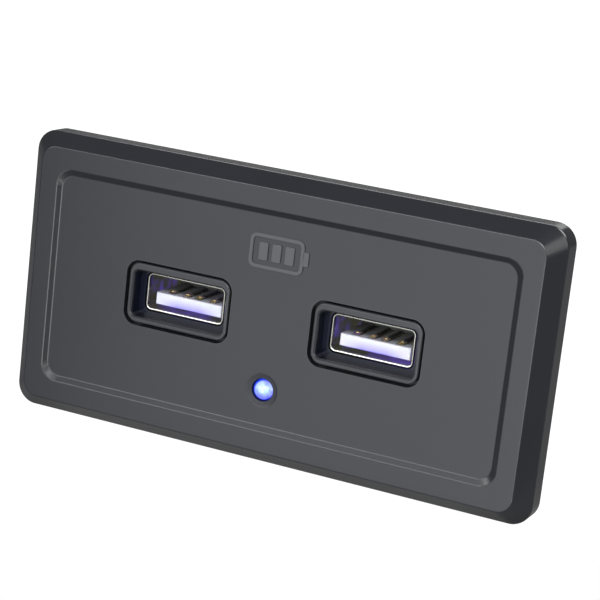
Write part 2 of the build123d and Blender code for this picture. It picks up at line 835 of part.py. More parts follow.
def all_nodes():
    nodes = {
        "faceplate": faceplate(),
        "rear_housing": rear_housing(),
        "circuit_board": circuit_board(),
        "led_lens": led_lens(),
        "led_spacer": led_spacer(),
        "led_anode_lead": led_lead(-1),
        "led_cathode_lead": led_lead(1),
        "positive_terminal": blade_terminal(-1),
        "negative_terminal": blade_terminal(1),
        "power_inductor": power_inductor(),
        "input_capacitor": capacitor(board_side - input_capacitor_from_side,
                                     board_edge - input_capacitor_from_edge,
                                     input_capacitor_radius, input_capacitor_height),
        "converter_chip": chip(-converter_share * board_side, converter_from_edge - board_edge,
                               board_back, 1),
        "input_fuse": input_fuse(),
        "input_diode": input_diode(),
        "board_screws": Compound(children=board_screws()),
        "housing_screws": Compound(children=housing_screws()),
    }
    capacitor_x = board_side - output_capacitor_from_side
    capacitor_z = output_capacitor_from_edge - board_edge
    for name, port_x, side in (("left", left, -1), ("right", right, 1)):
        nodes[name + "_port_collar"] = port_collar(port_x)
        nodes[name + "_usb_shell"] = usb_shell(port_x)
        nodes[name + "_usb_insulator"] = usb_insulator(port_x)
        nodes[name + "_output_capacitor"] = capacitor(
            side * capacitor_x, capacitor_z, output_capacitor_radius, output_capacitor_height)
        nodes[name + "_port_controller"] = chip(port_x, controller_z, board_front, -1)
        for line, offset in contact_offsets.items():
            nodes[name + "_" + line + "_contact"] = usb_contact(port_x + offset)
    return nodes


os.makedirs("parts", exist_ok=True)
for node_name, node_shape in all_nodes().items():
    export_step(node_shape, "parts/" + node_name + ".step")
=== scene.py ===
import math

import bmesh
import bpy
from bpy.props import FloatProperty, FloatVectorProperty, IntProperty, PointerProperty
from mathutils import Matrix, Vector


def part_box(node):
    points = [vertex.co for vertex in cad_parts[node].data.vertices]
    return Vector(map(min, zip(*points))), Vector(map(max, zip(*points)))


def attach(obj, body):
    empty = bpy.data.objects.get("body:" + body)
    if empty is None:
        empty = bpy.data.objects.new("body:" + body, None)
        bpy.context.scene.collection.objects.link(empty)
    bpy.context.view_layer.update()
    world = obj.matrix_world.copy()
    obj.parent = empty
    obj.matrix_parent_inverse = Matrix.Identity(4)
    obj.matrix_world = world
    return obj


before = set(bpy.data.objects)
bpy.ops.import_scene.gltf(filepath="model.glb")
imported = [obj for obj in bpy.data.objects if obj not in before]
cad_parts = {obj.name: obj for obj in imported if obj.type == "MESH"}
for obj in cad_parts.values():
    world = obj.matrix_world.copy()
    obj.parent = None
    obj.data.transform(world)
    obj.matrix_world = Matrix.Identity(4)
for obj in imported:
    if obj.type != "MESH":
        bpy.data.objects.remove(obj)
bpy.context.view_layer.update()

bl_info = {
    "name": "Car Dual USB Socket",
    "version": (1, 0, 0),
    "blender": (4, 5, 0),
    "location": "3D View > Sidebar > USB Socket",
    "description": "Finishes, moulded signs and a small studio for a panel socket",
    "category": "Object",
}

MM = 0.001
BLACK = (0.0, 0.0, 0.0, 1.0)
WHITE = (1.0, 1.0, 1.0, 1.0)

# Camera fitted to the photograph: place, viewing direction and upright, in the part's frame
camera_place = (0.122375, -0.269872, 0.071803)
camera_forward = (-0.39694689, 0.88962561, -0.22583055)
camera_upright = (-0.1949253, 0.15872311, 0.96789002)
camera_sensor = 36.0
camera_lens = 124.28
camera_shift = (0.0014, -0.0047)

# Places read from the frame, so that new pieces sit on the solids they belong to
plate_low, plate_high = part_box("faceplate")
lens_low, lens_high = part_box("led_lens")
housing_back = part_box("rear_housing")[1].y
collar_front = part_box("right_port_collar")[0].y
shell_low, shell_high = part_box("right_usb_shell")
tongue_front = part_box("right_usb_insulator")[0].y
contact_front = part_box("right_power_contact")[0].y
lens_centre = (lens_low + lens_high) / 2
port_x = (shell_low.x + shell_high.x) / 2

# Height of the tongues' upper faces, and the part of a tongue where the lamp's light is painted on
tongue_top = -0.24 * MM
tint_drops = (0.4 * MM, 1.7 * MM)
tint_half_widths = (5.5 * MM, 2.0 * MM)
tint_depths = (0.6 * MM, 0.1 * MM)

# Hottest place in the lens, and how far its light is followed from there
hot_spot = (lens_centre.x + 0.5 * MM, lens_low.y + 0.6 * MM, lens_centre.z + 0.1 * MM)
glow_reach = 2.0 * MM

# Depths between which painted shade darkens a piece's colour, from its front inward
recess_shade_depths = (0.25 * MM, 0.8 * MM)
shade_depths = (0.2 * MM, 1.2 * MM)
gold_shade_depths = (1.5 * MM, 2.2 * MM)
tongue_shade_depths = (0.15 * MM, 3.0 * MM)

# Heights over a shell's underside between which its lower lip takes a painted highlight
lip_highlight_heights = (0.55 * MM, 0.35 * MM)

# Scales of the textures, per metre
cloud_scale = 70.0
rub_scale = 420.0
wear_and_sheen_scale = 900.0
stain_scale = 260.0
leak_scale = 300.0
ripple_scale = 1400.0
facet_scale = 850.0
weave_scale = 900.0

# Relief of the board's tracks, and how much lighter the mask is over them
track_relief = 0.02 * MM
track_lightening = 1.7

# Lights: the way each stands from the part, its distance, width and height, and its power setting
lights = {
    "Front softbox": ((-0.240, -0.965, 0.105), 0.60, 0.43, 1.24, "key_power"),
    "Left softbox": ((-0.87, 0.46, -0.17), 0.60, 0.21, 0.30, "left_power"),
    "Right softbox": ((0.74, -0.58, 0.34), 0.60, 0.36, 0.42, "right_power"),
    "Upright strip": ((0.110, -0.968, -0.225), 0.60, 0.19, 0.32, "strip_power"),
    "Level strip": ((-0.44, -0.86, 0.26), 0.60, 0.56, 0.12, "level_power"),
    "Front spot": ((0.284, -0.847, 0.455), 0.60, 0.20, 0.20, "spot_power"),
    "Edge light": ((0.54, 0.18, 0.80), 0.60, 0.32, 0.32, "edge_power"),
    "Back softbox": ((-0.28, 1.0, 0.85), 0.90, 0.60, 0.60, "back_power"),
}


def colour(name, description, default):
    return FloatVectorProperty(name=name, description=description, subtype="COLOR",
                               default=default, min=0.0, max=1.0)


def length(name, description, default):
    return FloatProperty(name=name, description=description, unit="LENGTH",
                         default=default, min=0.0, precision=5)


def share(name, description, default):
    return FloatProperty(name=name, description=description, subtype="FACTOR",
                         default=default, min=0.0, max=1.0)


def strength(name, description, default):
    return FloatProperty(name=name, description=description, default=default, min=0.0)


class PlasticFinish(bpy.types.PropertyGroup):
    """Colours and surface of the moulded pieces."""

    face_colour: colour("Face colour", "Dark grey of the faceplate", (0.017, 0.0176, 0.0212))
    collar_colour: colour("Collar colour", "Grey of the port collars", (0.034, 0.035, 0.039))
    # Painted shade: the collars turn dark navy in their recesses
    recess_painted_shade: colour("Recess colour", "Painted navy shade inside the collars", (0.004, 0.006, 0.014))
    housing_colour: colour("Housing colour", "Black of the rear housing", (0.022, 0.022, 0.0235))
    tongue_colour: colour("Tongue colour", "White of the port tongues", (0.60, 0.61, 0.68))
    # Painted shade on the tongues further in
    tongue_painted_shade: colour("Tongue shade", "Painted olive shade of the tongues further in", (0.17, 0.18, 0.155))
    # Painted lamp light on the tongue's lower front
    painted_lamp_tint: colour("Painted lamp tint", "Tongue where the lamp tints it", (0.24, 0.22, 0.50))
    # Lighter edge line of the grey mouldings: wear and painted sheen
    worn_and_sheen_colour: colour("Worn and sheen colour", "Rubbed edges of the grey mouldings, with painted sheen", (0.16, 0.165, 0.17))
    housing_worn: colour("Worn housing", "Rubbed edges of the housing", (0.075, 0.075, 0.078))
    sign_colour: colour("Sign colour", "Grey of the battery sign", (0.056, 0.056, 0.061))
    # Painted shade along the sign's raised edges
    sign_edge_shade: colour("Sign edge shade", "Painted shade along the battery sign's edges", (0.008, 0.008, 0.009))
    mark_colour: colour("Mark colour", "Grey of the polarity marks", (0.075, 0.075, 0.078))
    mark_worn: colour("Worn mark", "Rubbed edges of the polarity marks", (0.14, 0.14, 0.14))
    face_roughness: share("Face roughness", "Satin of the front mouldings", 0.23)
    dish_radius: length("Dish radius", "Reach of the dull patch round the lamp", 0.0026)
    dish_dulling: share("Dish dulling", "Roughness added in the lamp's dish", 0.42)
    housing_roughness: share("Housing roughness", "Matt of the glass-filled housing", 0.50)
    grain_size: length("Grain size", "Spacing of the fine spark grain", 0.00022)
    grain_depth: length("Grain depth", "Height of the fine spark grain", 0.0000035)
    edge_width: length("Edge width", "Width of the rubbed line along edges", 0.00028)
    edge_wear_and_sheen: share("Edge wear", "How much lighter the rubbed edges are", 0.22)
    edge_polish: share("Edge polish", "How much smoother the rubbed edges are", 0.1)


class MetalFinish(bpy.types.PropertyGroup):
    """Colours and surface of the plated and bare metal pieces."""

    shell_colour: colour("Shell colour", "Nickel plate of the port shells", (0.30, 0.295, 0.27))
    # Painted highlight on the shells' lower lips
    lip_painted_highlight: colour("Lip highlight", "Painted highlight on the lower lips", (0.95, 0.93, 0.84))
    # Painted shade inside the shells
    shade_colour: colour("Shade colour", "Painted shade inside the shells", (0.13, 0.13, 0.10))
    shell_stain: colour("Shell stain", "Duller patches of the nickel", (0.24, 0.23, 0.19))
    contact_colour: colour("Contact colour", "Gold flash of the contacts", (1.0, 0.90, 0.64))
    contact_stain: colour("Contact stain", "Deeper patches of the gold", (1.0, 0.86, 0.58))
    # Painted shade on the contacts behind their points, deeper in the port
    gold_painted_shade: colour("Gold shade", "Painted shade on the gold behind the contact points", (0.10, 0.075, 0.03))
    blade_colour: colour("Blade colour", "Tinned brass of the blades", (0.66, 0.62, 0.52))
    blade_stain: colour("Blade stain", "Brass where the tin is thin", (0.48, 0.40, 0.26))
    lead_colour: colour("Lead colour", "Tin of the lamp's leads", (0.66, 0.66, 0.65))
    lead_stain: colour("Lead stain", "Duller patches of the tin", (0.45, 0.45, 0.43))
    screw_colour: colour("Screw colour", "Zinc plate of the screws", (0.55, 0.56, 0.58))
    screw_stain: colour("Screw stain", "Duller patches of the zinc", (0.40, 0.40, 0.36))
    can_colour: colour("Can colour", "Aluminium of the capacitor cans", (0.74, 0.74, 0.75))
    can_stain: colour("Can stain", "Duller patches of the cans", (0.6, 0.6, 0.6))
    shell_roughness: share("Shell roughness", "Gloss of the nickel plate", 0.17)
    contact_roughness: share("Contact roughness", "Gloss of the gold", 0.25)
    blade_roughness: share("Blade roughness", "Satin of the blades", 0.34)


class LampFinish(bpy.types.PropertyGroup):
    """Colours of the lit pilot lamp and of the glow in the ports."""

    heart_colour: colour("Heart colour", "Hot spot of the lit lens", (0.66, 0.90, 1.0))
    middle_colour: colour("Middle colour", "Lit lens round the hot spot", (0.52, 0.62, 1.0))
    rim_colour: colour("Rim colour", "Edge of the lens", (0.003, 0.008, 0.50))
    violet_colour: colour("Violet colour", "Tint of the lens low down", (0.45, 0.36, 0.95))
    resin_colour: colour("Resin colour", "Deep blue of the lens", (0.02, 0.06, 0.35))
    ripple_colour: colour("Ripple colour", "Lighter ripples in the resin", (0.03, 0.10, 0.45))
    heart_reach: share("Heart reach", "Where the hot spot ends, as a share of the reach", 0.28)
    middle_reach: share("Middle reach", "Where the lit part ends, as a share of the reach", 0.62)
    rim_reach: share("Rim reach", "Where the dark edge starts, as a share of the reach", 0.76)
    coat: share("Coat", "Clear gloss over the lens", 0.6)
    glow: strength("Glow", "Strength of the lamp's light", 1.1)
    port_colour: colour("Port glow", "Light of the lamp on the tongues", (0.16, 0.12, 0.85))
    port_glow: strength("Port glow strength", "Strength of the light on the tongues", 0.35)
    leak_colour: colour("Leak", "Patches of the lamp's light inside the shells", (0.07, 0.045, 0.24))
    dusk_colour: colour("Dusk", "Faint light inside the shells", (0.030, 0.030, 0.021))


class BoardFinish(bpy.types.PropertyGroup):
    """Colours of the charger circuit."""

    mask_colour: colour("Board colour", "Green solder mask", (0.012, 0.115, 0.045))
    epoxy_colour: colour("Chip colour", "Dull black epoxy", (0.018, 0.018, 0.020))
    ferrite_colour: colour("Ferrite colour", "Grey of the inductor core", (0.050, 0.050, 0.055))
    fuse_colour: colour("Fuse colour", "Dull green of the fuse", (0.022, 0.105, 0.035))
    chip_worn: colour("Worn chip", "Rubbed edges of the chips", (0.06, 0.06, 0.06))
    fuse_worn: colour("Worn fuse", "Rubbed edges of the fuse", (0.05, 0.2, 0.08))
    track_pitch: length("Track pitch", "Spacing of the copper tracks", 0.0016)


class SignSizes(bpy.types.PropertyGroup):
    """Sizes of the signs moulded on the face and the back."""

    battery_width: length("Battery width", "Width of the battery outline", 0.0088)
    battery_height: length("Battery height", "Height of the battery outline", 0.0052)
    battery_line: length("Line width", "Width of the outline", 0.00062)
    battery_corner: length("Corner radius", "Outer radius of the outline", 0.0011)
    battery_z: length("Sign height", "Height of the sign's centre over the ports' axis", 0.0102)
    charge_bars: IntProperty(name="Charge bars", description="Bars in the battery", default=3,
                             min=1, max=5)
    sign_rise: length("Rise", "How far the signs stand out", 0.00018)
    sign_root: length("Root", "How far the signs reach into their wall", 0.0001)
    sign_edge: length("Sign edge", "Rounding of the signs' edges", 0.00007)
    mark_size: length("Polarity mark", "Width of the plus and minus marks", 0.0027)
    mark_offset: length("Mark offset", "Distance of a mark from its blade", 0.0046)


class StudioSettings(bpy.types.PropertyGroup):
    """Lights and floor of the studio."""

    key_power: strength("Key power", "Front softbox, watts", 2.7)
    key_tint: colour("Key tint", "Cool white of the front softbox", (0.94, 0.97, 1.0))
    left_power: strength("Left power", "Softbox on the left, watts", 0.05)
    right_power: strength("Right power", "Softbox on the right, watts", 1.1)
    strip_power: strength("Strip power", "Upright strip light, watts", 1.1)
    level_power: strength("Level strip power", "Level strip light, watts", 1.2)
    spot_power: strength("Spot power", "Small light in front, watts", 1.7)
    edge_power: strength("Edge power", "Small light over the edge, watts", 2.7)
    back_power: strength("Back power", "Soft light on the back, watts", 2.8)
    fill: share("Fill", "Level of light from all round", 0.08)
    floor_colour: colour("Floor colour", "Pale studio floor", (0.12, 0.12, 0.12))
    floor_roughness: share("Floor roughness", "Matt of the floor", 0.9)
    floor_lift: share("Floor lift", "White added to the floor where it is seen", 0.96)
    gloss_share: share("Background in gloss", "Share of the white that gloss shows", 0.045)
    floor_gloss: share("Floor in gloss", "Share of the floor's white that gloss shows", 0.33)
    floor_size: length("Floor size", "Side of the floor", 4.0)
    floor_front: length("Floor front", "Distance from the part to the floor's front edge", 0.010)


def feed(tree, socket, value):
    if isinstance(value, bpy.types.NodeSocket):
        tree.links.new(value, socket)
    else:
        socket.default_value = value


def add(tree, kind, settings=None, **inputs):
    node = tree.nodes.new("ShaderNode" + kind)
    for name, value in (settings or {}).items():
        setattr(node, name, value)
    for name, value in inputs.items():
        feed(tree, node.inputs[name.replace("_", " ")], value)
    return node


def calculate(tree, operation, *values, clamp=False):
    node = add(tree, "Math", {"operation": operation, "use_clamp": clamp})
    for socket, value in zip(node.inputs, values):
        feed(tree, socket, value)
    return node.outputs[0]


def blend_colours(tree, factor, first, second, mode="MIX"):
    node = add(tree, "Mix", {"data_type": "RGBA", "blend_type": mode})
    for socket, value in zip((node.inputs[0], node.inputs[6], node.inputs[7]),
                             (factor, first, second)):
        feed(tree, socket, value)
    return node.outputs[2]


def object_place(tree):
    return add(tree, "TexCoord").outputs["Object"]


def stretched_place(tree, place, scale):
    return add(tree, "Mapping", Vector=place, Scale=scale).outputs[0]


def noise(tree, place, scale, detail=2.0, roughness=0.5):
    return add(tree, "TexNoise", Vector=place, Scale=scale, Detail=detail,
               Roughness=roughness).outputs["Fac"]


def fit_range(tree, value, low, high, to_low=0.0, to_high=1.0):
    node = add(tree, "MapRange", Value=value)
    for name, number in (("From Min", low), ("From Max", high), ("To Min", to_low),
                         ("To Max", to_high)):
        node.inputs[name].default_value = number
    return node.outputs[0]


def new_group(name, inputs, outputs):
    group = bpy.data.node_groups.new(name, "ShaderNodeTree")
    for label, kind in inputs:
        group.interface.new_socket(label, in_out="INPUT", socket_type="NodeSocket" + kind)
    for label, kind in outputs:
        group.interface.new_socket(label, in_out="OUTPUT", socket_type="NodeSocket" + kind)
    start = group.nodes.new("NodeGroupInput")
    end = group.nodes.new("NodeGroupOutput")
    return group, start.outputs, end.inputs


def moulded_surface_group():
    """Fine spark grain, slow clouding and hairline rubs of a moulded plastic."""
    group, given, result = new_group(
        "Moulded surface",
        [("Colour", "Color"), ("Clouding", "Float"), ("Roughness", "Float"),
         ("Rubs", "Float"), ("Grain scale", "Float")],
        [("Colour", "Color"), ("Roughness", "Float"), ("Height", "Float")])
    place = object_place(group)
    grain = noise(group, place, given["Grain scale"], detail=3.0, roughness=0.6)
    clouds = noise(group, place, cloud_scale, detail=3.0)
    flow = noise(group, stretched_place(group, place, (1.0, 1.0, 6.0)), rub_scale, detail=4.0,
                 roughness=0.7)
    shade = fit_range(group, clouds, 0.25, 0.75, to_low=-1.0)
    shade = calculate(group, "MULTIPLY", shade, given["Clouding"])
    shade = calculate(group, "ADD", 1.0, shade)
    tinted = add(group, "VectorMath", {"operation": "SCALE"}, Scale=shade)
    feed(group, tinted.inputs[0], given["Colour"])
    rubs = fit_range(group, flow, 0.35, 0.75, to_low=-0.5)
    rubs = calculate(group, "MULTIPLY", rubs, given["Rubs"])
    roughness = calculate(group, "ADD", given["Roughness"], rubs, clamp=True)
    feed(group, result["Colour"], tinted.outputs[0])
    feed(group, result["Roughness"], roughness)
    feed(group, result["Height"], grain)
    return group


def edge_wear_and_sheen_group():
    """Mask of a thin, broken line along the edges of a solid."""
    group, given, result = new_group(
        "Edge wear", [("Width", "Float"), ("Amount", "Float")], [("Mask", "Float")])
    rounded = add(group, "Bevel", {"samples": 6}, Radius=given["Width"])
    facing = add(group, "VectorMath", {"operation": "DOT_PRODUCT"})
    feed(group, facing.inputs[0], rounded.outputs[0])
    feed(group, facing.inputs[1], add(group, "NewGeometry").outputs["Normal"])
    turned = calculate(group, "SUBTRACT", 1.0, facing.outputs["Value"], clamp=True)
    line = fit_range(group, turned, 0.02, 0.30)
    wear_sheen_and_shade = noise(group, object_place(group), wear_and_sheen_scale, detail=4.0, roughness=0.65)
    broken = fit_range(group, wear_sheen_and_shade, 0.3, 0.62, to_low=0.35)
    mask = calculate(group, "MULTIPLY", line, broken)
    feed(group, result["Mask"], calculate(group, "MULTIPLY", mask, given["Amount"], clamp=True))
    return group


def plated_surface_group():
    """Rolling lines, stains and handling marks of a plated metal strip."""
    group, given, result = new_group(
        "Plated surface",
        [("Roughness", "Float"), ("Line strength", "Float"), ("Line scale", "Float")],
        [("Roughness", "Float"), ("Height", "Float"), ("Stain", "Float")])
    place = object_place(group)
    lines = noise(group, stretched_place(group, place, (1.0, 0.04, 1.0)), given["Line scale"],
                  detail=3.0, roughness=0.6)
    stains = noise(group, place, stain_scale, detail=4.0, roughness=0.6)
    stains = fit_range(group, stains, 0.42, 0.72)
    spread = calculate(group, "SUBTRACT", lines, 0.5)
    spread = calculate(group, "MULTIPLY", spread, given["Line strength"])
    rough = calculate(group, "ADD", given["Roughness"], spread)
    stained = calculate(group, "MULTIPLY", stains, 0.12)
    feed(group, result["Roughness"], calculate(group, "ADD", rough, stained, clamp=True))
    feed(group, result["Height"], lines)
    feed(group, result["Stain"], stains)
    return group


def place_group(tree, name, build, **inputs):
    """A node of the shared group, which is built at its first use."""
    group = bpy.data.node_groups.get(name) or build()
    return add(tree, "Group", {"node_tree": group}, **inputs).outputs


def new_material(name):
    material = bpy.data.materials.new(name)
    material.use_nodes = True
    tree = material.node_tree
    return material, tree, tree.nodes["Principled BSDF"].inputs


def deeper(tree, front, depths):
    """0 in front of one depth and 1 behind another, both from a piece's front."""
    place = add(tree, "SeparateXYZ", Vector=object_place(tree)).outputs["Y"]
    return fit_range(tree, place, front + depths[0], front + depths[1])


def near_axis(tree, centre, radius):
    """1 round an axis along Y and 0 from a radius outward."""
    flat = stretched_place(tree, object_place(tree), (1.0, 0.0, 1.0))
    away = add(tree, "VectorMath", {"operation": "DISTANCE"})
    feed(tree, away.inputs[0], flat)
    feed(tree, away.inputs[1], (centre.x, 0.0, centre.z))
    return fit_range(tree, away.outputs["Value"], 0.9 * radius, radius, to_low=1.0, to_high=0.0)


def opaque(rgb):
    return (rgb[0], rgb[1], rgb[2], 1.0)


def bump(tree, height, depth):
    return add(tree, "Bump", Height=height, Distance=depth).outputs[0]


def moulding(name, rgb, roughness, finish, clouding=0.05, rubs=0.05, grain=1.0, relief=1.0,
             wear_sheen_and_shade=None, wear=1.0, specular=0.5, inner=None, dish=None):
    """Moulded plastic with spark grain and an edge line: wear and painted sheen when light, painted
    shade when dark.

    inner is a colour of painted shade further in, with the front and the depths it starts from.
    dish is the axis and the radius of a dull patch.
    """
    material, tree, shader = new_material(name)
    surface = place_group(tree, "Moulded surface", moulded_surface_group,
                          Colour=opaque(rgb), Clouding=clouding, Roughness=roughness,
                          Rubs=rubs, Grain_scale=grain / finish.grain_size)
    # Line along the edges: wear and painted sheen in a light colour, painted shade in a dark one
    sheen_and_wear = place_group(tree, "Edge wear", edge_wear_and_sheen_group, Width=finish.edge_width,
                         Amount=finish.edge_wear_and_sheen * wear)["Mask"]
    base = blend_colours(tree, sheen_and_wear, surface["Colour"], opaque(wear_sheen_and_shade or finish.worn_and_sheen_colour))
    if inner:
        base = blend_colours(tree, deeper(tree, *inner[1:]), base, opaque(inner[0]))
    feed(tree, shader["Base Color"], base)
    polished = calculate(tree, "MULTIPLY", sheen_and_wear, -finish.edge_polish)
    rough = calculate(tree, "ADD", surface["Roughness"], polished)
    if dish:
        dulled = calculate(tree, "MULTIPLY", near_axis(tree, *dish), finish.dish_dulling)
        rough = calculate(tree, "ADD", rough, dulled)
    feed(tree, shader["Roughness"], rough)
    feed(tree, shader["Normal"], bump(tree, surface["Height"], finish.grain_depth * relief))
    shader["Specular IOR Level"].default_value = specular
    return material


def tongue_plastic(finish, lamp):
    """White tongue with painted shade further in, whose lower edge takes the lamp's painted violet
    light.
    """
    material, tree, shader = new_material("White port tongue")
    surface = place_group(tree, "Moulded surface", moulded_surface_group,
                          Colour=opaque(finish.tongue_colour), Clouding=0.03,
                          Roughness=0.42, Rubs=0.06, Grain_scale=1.0 / finish.grain_size)
    place = add(tree, "SeparateXYZ", Vector=object_place(tree)).outputs
    # Painted violet light of the lamp on the tongue's lower front, in the base colour and as a glow
    low = fit_range(tree, place["Z"], tongue_top - tint_drops[0], tongue_top - tint_drops[1])
    beside = calculate(tree, "SUBTRACT", calculate(tree, "ABSOLUTE", place["X"]), port_x)
    beside = calculate(tree, "ABSOLUTE", beside)
    middle = fit_range(tree, beside, *tint_half_widths)
    front = deeper(tree, tongue_front, tint_depths)
    lit = calculate(tree, "MULTIPLY", calculate(tree, "MULTIPLY", low, middle), front)
    glow = blend_colours(tree, lit, BLACK, opaque(lamp.port_colour))
    # Painted shade: the tongue turns olive grey further in
    inward = deeper(tree, tongue_front, tongue_shade_depths)
    base = blend_colours(tree, inward, surface["Colour"], opaque(finish.tongue_painted_shade))
    feed(tree, shader["Base Color"], blend_colours(tree, lit, base, opaque(finish.painted_lamp_tint)))
    feed(tree, shader["Roughness"], surface["Roughness"])
    feed(tree, shader["Emission Color"], glow)
    feed(tree, shader["Normal"], bump(tree, surface["Height"], finish.grain_depth))
    shader["Emission Strength"].default_value = lamp.port_glow
    shader["Subsurface Weight"].default_value = 0.15
    shader["Subsurface Scale"].default_value = 0.4 * MM
    return material


def plated_metal(name, rgb, roughness, stain, lines=0.10, line_scale=2600.0, depth=0.0000012,
                 sheen_and_wear=None, inner=None, leak=None):
    """Bright plate with rolling lines and faint stains.

    Given a lip colour and heights, the lower side takes a painted highlight between these
    heights. inner is a colour of painted shade further in, with the front and the depths it
    starts from. With leak, patches of the lamp's light are painted inside as a glow.
    """
    material, tree, shader = new_material(name)
    surface = place_group(tree, "Plated surface", plated_surface_group, Roughness=roughness,
                          Line_strength=lines, Line_scale=line_scale)
    base = blend_colours(tree, surface["Stain"], opaque(rgb), opaque(stain))
    # Painted highlight on the lower lip, lighter towards the underside
    if sheen_and_wear:
        height = add(tree, "SeparateXYZ", Vector=object_place(tree)).outputs["Z"]
        low = fit_range(tree, height, sheen_and_wear[1], sheen_and_wear[2])
        base = blend_colours(tree, low, base, opaque(sheen_and_wear[0]))
    # Painted shade further in
    if inner:
        base = blend_colours(tree, deeper(tree, *inner[1:]), base, opaque(inner[0]))
    feed(tree, shader["Base Color"], base)
    feed(tree, shader["Roughness"], surface["Roughness"])
    feed(tree, shader["Normal"], bump(tree, surface["Height"], depth))
    shader["Metallic"].default_value = 1.0
    # Painted glow of the lamp's light in patches inside the shells
    if leak:
        patches = fit_range(tree, noise(tree, object_place(tree), leak_scale), 0.46, 0.66)
        light = blend_colours(tree, patches, opaque(leak.dusk_colour), opaque(leak.leak_colour))
        feed(tree, shader["Emission Color"],
             blend_colours(tree, deeper(tree, *inner[1:]), BLACK, light))
        shader["Emission Strength"].default_value = 1.0
    return material


def lamp_lens(lamp):
    """Clear blue dome lit from inside, brightest round its hot spot."""
    material, tree, shader = new_material("Lit blue lens")
    place = object_place(tree)
    away = add(tree, "VectorMath", {"operation": "DISTANCE"})
    feed(tree, away.inputs[0], place)
    feed(tree, away.inputs[1], hot_spot)
    ramp = add(tree, "ValToRGB")
    feed(tree, ramp.inputs[0], fit_range(tree, away.outputs["Value"], 0.0, glow_reach))
    stops = ramp.color_ramp.elements
    stops[0].color = opaque(lamp.heart_colour)
    stops[0].position = lamp.heart_reach
    stops[1].color = opaque(lamp.rim_colour)
    stops[1].position = lamp.rim_reach
    stops.new(lamp.middle_reach).color = opaque(lamp.middle_colour)
    ripple = noise(tree, place, ripple_scale)
    facets = noise(tree, place, facet_scale, detail=1.0)
    facets = fit_range(tree, facets, 0.42, 0.62, to_high=0.75)
    height = add(tree, "SeparateXYZ", Vector=place).outputs["Z"]
    low = fit_range(tree, height, lens_centre.z + 0.2 * MM, lens_centre.z - 0.8 * MM)
    tinted = blend_colours(tree, low, WHITE, opaque(lamp.violet_colour))
    lit = blend_colours(tree, 1.0, ramp.outputs[0], tinted, "MULTIPLY")
    lit = blend_colours(tree, facets, lit, opaque(lamp.violet_colour), "MULTIPLY")
    feed(tree, shader["Emission Color"], blend_colours(tree, 0.12, lit, ripple, "MULTIPLY"))
    feed(tree, shader["Base Color"],
         blend_colours(tree, ripple, opaque(lamp.resin_colour), opaque(lamp.ripple_colour)))
    feed(tree, shader["Roughness"], fit_range(tree, ripple, 0.3, 0.7, to_low=0.06, to_high=0.12))
    shader["Emission Strength"].default_value = lamp.glow
    shader["Coat Weight"].default_value = lamp.coat
    return material


def solder_mask(board):
    """Glossy green mask over a grid of slightly raised copper tracks and a glass weave."""
    material, tree, shader = new_material("Green solder mask")
    place = object_place(tree)
    upright = add(tree, "Mapping", Vector=place, Rotation=(math.pi / 2, 0.0, 0.0)).outputs[0]
    copper = add(tree, "TexBrick", {"offset": 0.5}, Vector=upright, Scale=1.0,
                 Brick_Width=5 * board.track_pitch, Row_Height=board.track_pitch,
                 Mortar_Size=0.16 * board.track_pitch, Mortar_Smooth=0.4).outputs["Fac"]
    weave = add(tree, "TexWave", Vector=place, Scale=weave_scale, Distortion=1.0).outputs["Fac"]
    light = [value * track_lightening for value in board.mask_colour]
    base = blend_colours(tree, copper, opaque(light), opaque(board.mask_colour))
    feed(tree, shader["Base Color"], blend_colours(tree, 0.15, base, weave, "MULTIPLY"))
    feed(tree, shader["Roughness"], fit_range(tree, weave, 0.0, 1.0, to_low=0.22, to_high=0.32))
    feed(tree, shader["Normal"], bump(tree, copper, track_relief))
    return material


def dress(slot_name, material):
    """Gives every CAD node of this slot its finished material."""
    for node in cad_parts.values():
        for place in node.material_slots:
            if place.material.name == slot_name:
                place.material = material


def new_piece(name, bm, material):
    """An object at the origin from a finished bmesh, riding on the body and taking its slot."""
    bmesh.ops.recalc_face_normals(bm, faces=bm.faces)
    mesh = bpy.data.meshes.new(name)
    bm.to_mesh(mesh)
    bm.free()
    piece = bpy.data.objects.new(name, mesh)
    bpy.context.scene.collection.objects.link(piece)
    mesh.materials.append(material)
    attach(piece, "root")
    return piece


def raise_faces(bm, faces, height):
    """Extrudes flat faces into a closed block and returns the moved vertices."""
    grown = bmesh.ops.extrude_face_region(bm, geom=faces, use_keep_orig=True)["geom"]
    moved = [item for item in grown if isinstance(item, bmesh.types.BMVert)]
    bmesh.ops.translate(bm, verts=moved, vec=(0.0, 0.0, height))
    return moved


def round_top(bm, moved, radius):
    """Rounds the edges round the raised faces."""
    tops = set(moved)
    least_angle = 0.5
    rim = [edge for edge in bm.edges
           if edge.verts[0] in tops and edge.verts[1] in tops and len(edge.link_faces) == 2
           and edge.calc_face_angle(0.0) > least_angle]
    bmesh.ops.bevel(bm, geom=rim, offset=radius, segments=2, profile=0.5, affect="EDGES",
                    material=-1, clamp_overlap=True)


def flat_block(width, height, centre_x, centre_y, rise, corner, edge):
    """A low block with rounded corners and edges, drawn flat on XY."""
    bm = bmesh.new()
    bmesh.ops.create_grid(bm, x_segments=1, y_segments=1, size=0.5)
    bmesh.ops.scale(bm, vec=(width, height, 1.0), verts=bm.verts)
    bmesh.ops.bevel(bm, geom=bm.verts[:], offset=corner, segments=5, profile=0.5,
                    affect="VERTICES", material=-1)
    round_top(bm, raise_faces(bm, bm.faces[:], rise), edge)
    bmesh.ops.translate(bm, verts=bm.verts, vec=(centre_x, centre_y, 0.0))
    return bm


